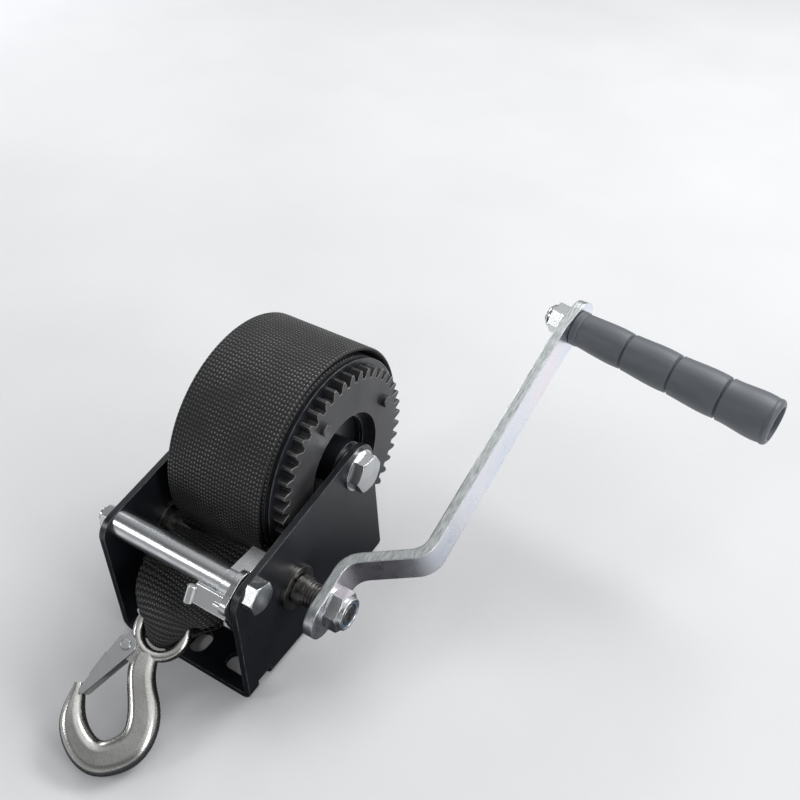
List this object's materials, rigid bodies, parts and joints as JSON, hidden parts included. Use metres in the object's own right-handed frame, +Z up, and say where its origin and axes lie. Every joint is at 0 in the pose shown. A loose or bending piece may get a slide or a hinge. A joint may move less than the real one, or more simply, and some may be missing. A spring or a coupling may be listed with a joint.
{
  "type": "hand winch",
  "caption": "Hand-cranked boat trailer winch: folded frame, geared drum wound with webbing, crank with a turning grip, ratchet pawl and a slip hook with a sprung latch.",
  "frame": {"origin": "on the underside of the base, midway between the side plates and below the drum axle", "axes": "+X along the drum axle towards the crank, +Y towards the rear, away from the hook, +Z up from the base"},
  "size_m": [0.2402, 0.2799, 0.1213],
  "materials": {
    "black_paint": "semi-gloss black powder coat",
    "black_gear": "black oxide with oiled sheen",
    "bright_zinc": "bright zinc plate",
    "blue_zinc": "bright zinc plate with a faint blue and pink passivate tint",
    "hook_zinc": "satin zinc over a forged surface",
    "webbing": "coarse woven polyester",
    "grip_plastic": "satin moulded",
    "nylon": "satin",
    "bush_steel": "dull plated"
  },
  "bodies": {
    "frame": {"frame": "black_paint", "tie_bolt": "bright_zinc", "tie_bolt_nut": "bright_zinc", "spacer_tube": "bright_zinc", "pawl_bush": "bush_steel", "drum_axle_bolt": "bright_zinc", "drum_axle_nut": "bright_zinc", "axle_washers": "bright_zinc", "axle_spacers": "bush_steel", "left_shaft_bush": "bush_steel", "right_shaft_bush": "bush_steel", "webbing_tail": "webbing"},
    "drum": {"drum_core": "black_paint", "drum_hub": "black_paint", "left_flange": "black_paint", "right_flange": "black_paint", "drum_gear": "black_gear", "gear_rivets": "black_gear", "drum_bushes": "nylon", "web_anchor_bolt": "bright_zinc", "webbing_roll": "webbing"},
    "crank": {"pinion_shaft": "bright_zinc", "pinion": "bright_zinc", "shaft_clip": "bush_steel", "crank_arm": "blue_zinc", "crank_washer": "bright_zinc", "crank_nut": "bright_zinc", "crank_nut_insert": "nylon", "grip_bolt": "bright_zinc", "grip_nut": "bright_zinc"},
    "grip": {"grip": "grip_plastic"},
    "pawl": {"pawl": "bright_zinc"},
    "hook": {"hook": "hook_zinc", "latch_pin": "hook_zinc"},
    "latch": {"hook_latch": "hook_zinc"}
  },
  "joints": [
    {"name": "drum_spin", "type": "hinge", "parent": "frame", "child": "drum", "pos_m": [0, 0, 0.0696], "axis": [1, 0, 0], "continuous": true},
    {"name": "crank_spin", "type": "hinge", "parent": "frame", "child": "crank", "pos_m": [0, -0.0504, 0.0409], "axis": [1, 0, 0], "continuous": true},
    {"name": "grip_spin", "type": "hinge", "parent": "crank", "child": "grip", "pos_m": [0.0889, 0.11442, 0.09701], "axis": [0.9917, -0.1219, -0.0415], "continuous": true},
    {"name": "pawl_rock", "type": "hinge", "parent": "frame", "child": "pawl", "pos_m": [0.03, -0.0765, 0.0636], "axis": [1, 0, 0], "range_deg": [-45, 30]},
    {"name": "hook_swing", "type": "hinge", "parent": "frame", "child": "hook", "pos_m": [0, -0.08584, 0.03652], "axis": [-0.9659, -0.1135, 0.2326], "range_deg": [0, 12]},
    {"name": "latch_pivot", "type": "hinge", "parent": "hook", "child": "latch", "pos_m": [-0.00937, -0.10663, 0.02917], "axis": [0.2588, -0.4234, 0.8682], "range_deg": [0, 26], "stiffness_Nm_per_rad": 0.01, "springref_deg": -20.05}
  ],
  "couplings": [
    {"joint": "crank_spin", "follows": "drum_spin", "ratio": -3.1429}
  ]
}
